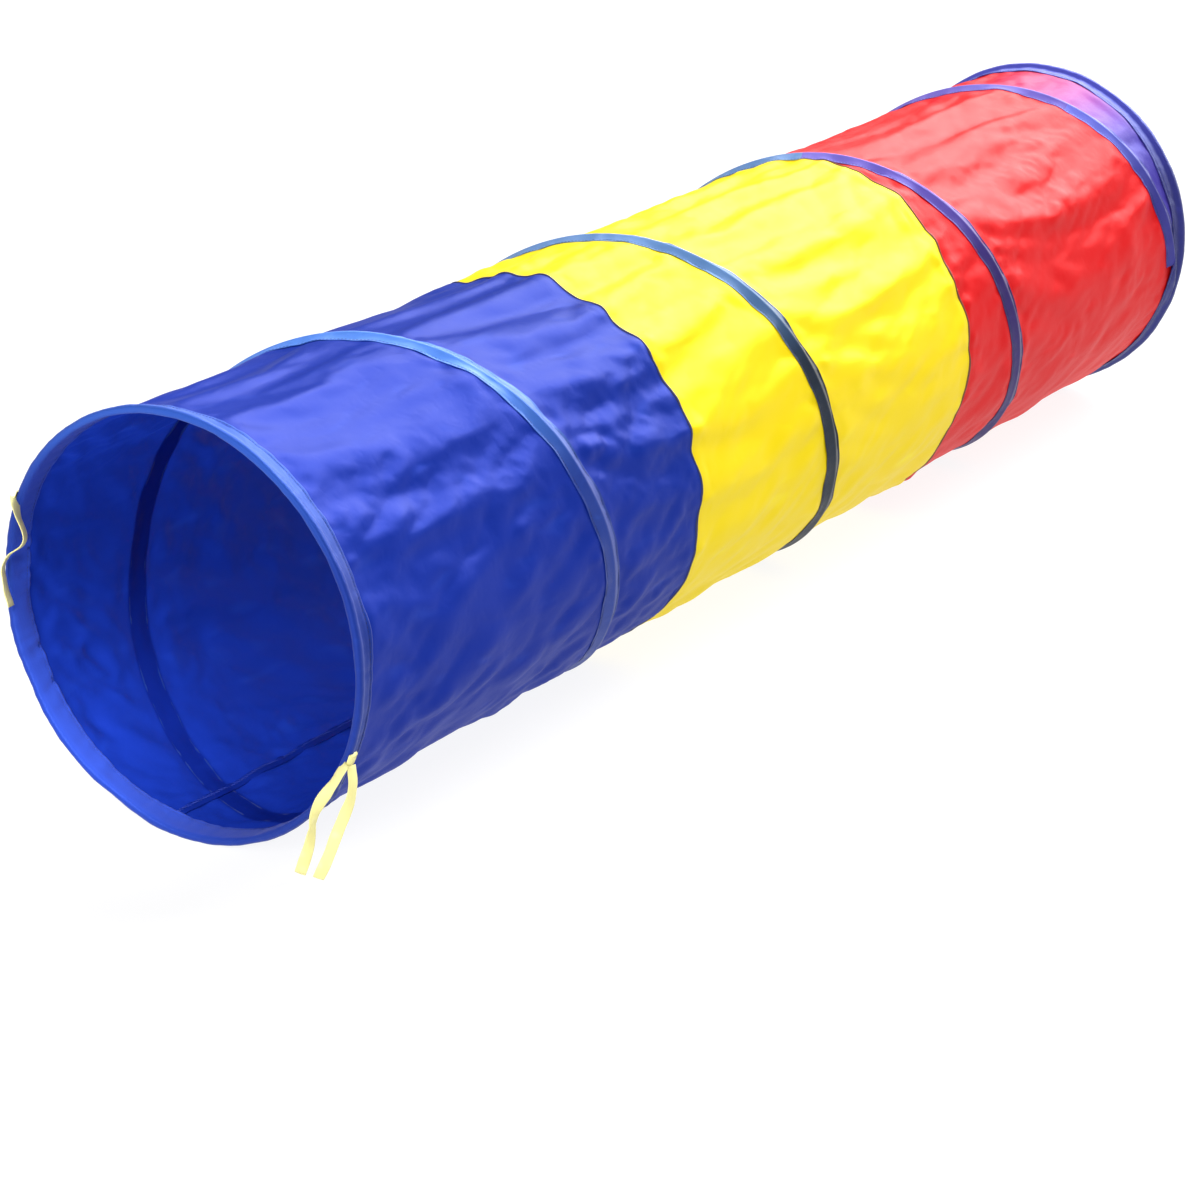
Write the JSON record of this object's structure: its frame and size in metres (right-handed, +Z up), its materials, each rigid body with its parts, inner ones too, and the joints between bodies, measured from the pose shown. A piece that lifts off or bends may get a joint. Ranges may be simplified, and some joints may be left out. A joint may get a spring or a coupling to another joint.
{
  "type": "agility tunnel",
  "caption": "Pop-up crawl tunnel for dogs: a round cloth tube in three coloured panels, held open by a helical spring-wire coil in sewn sleeves, with bound mouths and ribbon ties.",
  "frame": {"origin": "on the ground under the middle of the tunnel", "axes": "+Y along the tunnel from the near mouth, with the ties, to the far mouth; +Z up"},
  "size_m": [0.4671, 1.9165, 0.4617],
  "materials": {
    "blue_cloth": "satin",
    "yellow_cloth": "satin",
    "red_cloth": "satin",
    "sleeve_tape": "satin",
    "mouth_binding": "satin",
    "seam_thread": "matte",
    "tie_ribbon": "satin",
    "spring_wire": "satin",
    "ferrule": "satin"
  },
  "bodies": {
    "near_end": {"near_mouth_binding": "mouth_binding", "near_ring_wire": "spring_wire", "near_ring_ferrule": "ferrule", "right_tie_front_tail": "tie_ribbon", "right_tie_rear_tail": "tie_ribbon", "right_tie_tack": "tie_ribbon", "left_tie_front_tail": "tie_ribbon", "left_tie_rear_tail": "tie_ribbon", "left_tie_tack": "tie_ribbon"},
    "far_end": {"far_mouth_binding": "mouth_binding", "far_ring_wire": "spring_wire", "far_ring_ferrule": "ferrule"},
    "blue_section": {"blue_panel": "blue_cloth", "blue_side_seam": "blue_cloth", "blue_yellow_seam": "seam_thread"},
    "yellow_section": {"yellow_panel": "yellow_cloth", "yellow_side_seam": "yellow_cloth", "yellow_red_seam": "seam_thread"},
    "red_section": {"red_panel": "red_cloth", "red_side_seam": "red_cloth"},
    "coil_turn_1": {"coil_wire_turn_1": "spring_wire", "coil_sleeve_turn_1": "sleeve_tape"},
    "coil_turn_2": {"coil_wire_turn_2": "spring_wire", "coil_sleeve_turn_2": "sleeve_tape"},
    "coil_turn_3": {"coil_wire_turn_3": "spring_wire", "coil_sleeve_turn_3": "sleeve_tape"},
    "coil_turn_4": {"coil_wire_turn_4": "spring_wire", "coil_sleeve_turn_4": "sleeve_tape"}
  },
  "joints": [
    {"name": "collapse", "type": "slide", "parent": "near_end", "child": "far_end", "axis": [0, 1, 0], "range_m": [-1.7702, 0], "stiffness_N_per_m": 10, "springref_m": 0.25},
    {"name": "blue_section_follow", "type": "slide", "parent": "near_end", "child": "blue_section", "axis": [0, 1, 0], "range_m": [-0.2776, 0], "deforming": ["blue_panel", "blue_side_seam", "blue_yellow_seam"]},
    {"name": "yellow_section_follow", "type": "slide", "parent": "near_end", "child": "yellow_section", "axis": [0, 1, 0], "range_m": [-0.8856, 0], "deforming": ["yellow_panel", "yellow_side_seam", "yellow_red_seam"]},
    {"name": "red_section_follow", "type": "slide", "parent": "near_end", "child": "red_section", "axis": [0, 1, 0], "range_m": [-1.4936, 0], "deforming": ["red_panel", "red_side_seam"]},
    {"name": "coil_turn_1_follow", "type": "slide", "parent": "near_end", "child": "coil_turn_1", "axis": [0, 1, 0], "range_m": [-0.2016, 0], "deforming": ["coil_wire_turn_1", "coil_sleeve_turn_1"]},
    {"name": "coil_turn_2_follow", "type": "slide", "parent": "near_end", "child": "coil_turn_2", "axis": [0, 1, 0], "range_m": [-0.6576, 0], "deforming": ["coil_wire_turn_2", "coil_sleeve_turn_2"]},
    {"name": "coil_turn_3_follow", "type": "slide", "parent": "near_end", "child": "coil_turn_3", "axis": [0, 1, 0], "range_m": [-1.1136, 0], "deforming": ["coil_wire_turn_3", "coil_sleeve_turn_3"]},
    {"name": "coil_turn_4_follow", "type": "slide", "parent": "near_end", "child": "coil_turn_4", "axis": [0, 1, 0], "range_m": [-1.5696, 0], "deforming": ["coil_wire_turn_4", "coil_sleeve_turn_4"]}
  ],
  "couplings": [
    {"joint": "blue_section_follow", "follows": "collapse", "ratio": 0.15654},
    {"joint": "yellow_section_follow", "follows": "collapse", "ratio": 0.5},
    {"joint": "red_section_follow", "follows": "collapse", "ratio": 0.84346},
    {"joint": "coil_turn_1_follow", "follows": "collapse", "ratio": 0.11361},
    {"joint": "coil_turn_2_follow", "follows": "collapse", "ratio": 0.3712},
    {"joint": "coil_turn_3_follow", "follows": "collapse", "ratio": 0.6288},
    {"joint": "coil_turn_4_follow", "follows": "collapse", "ratio": 0.88639}
  ]
}
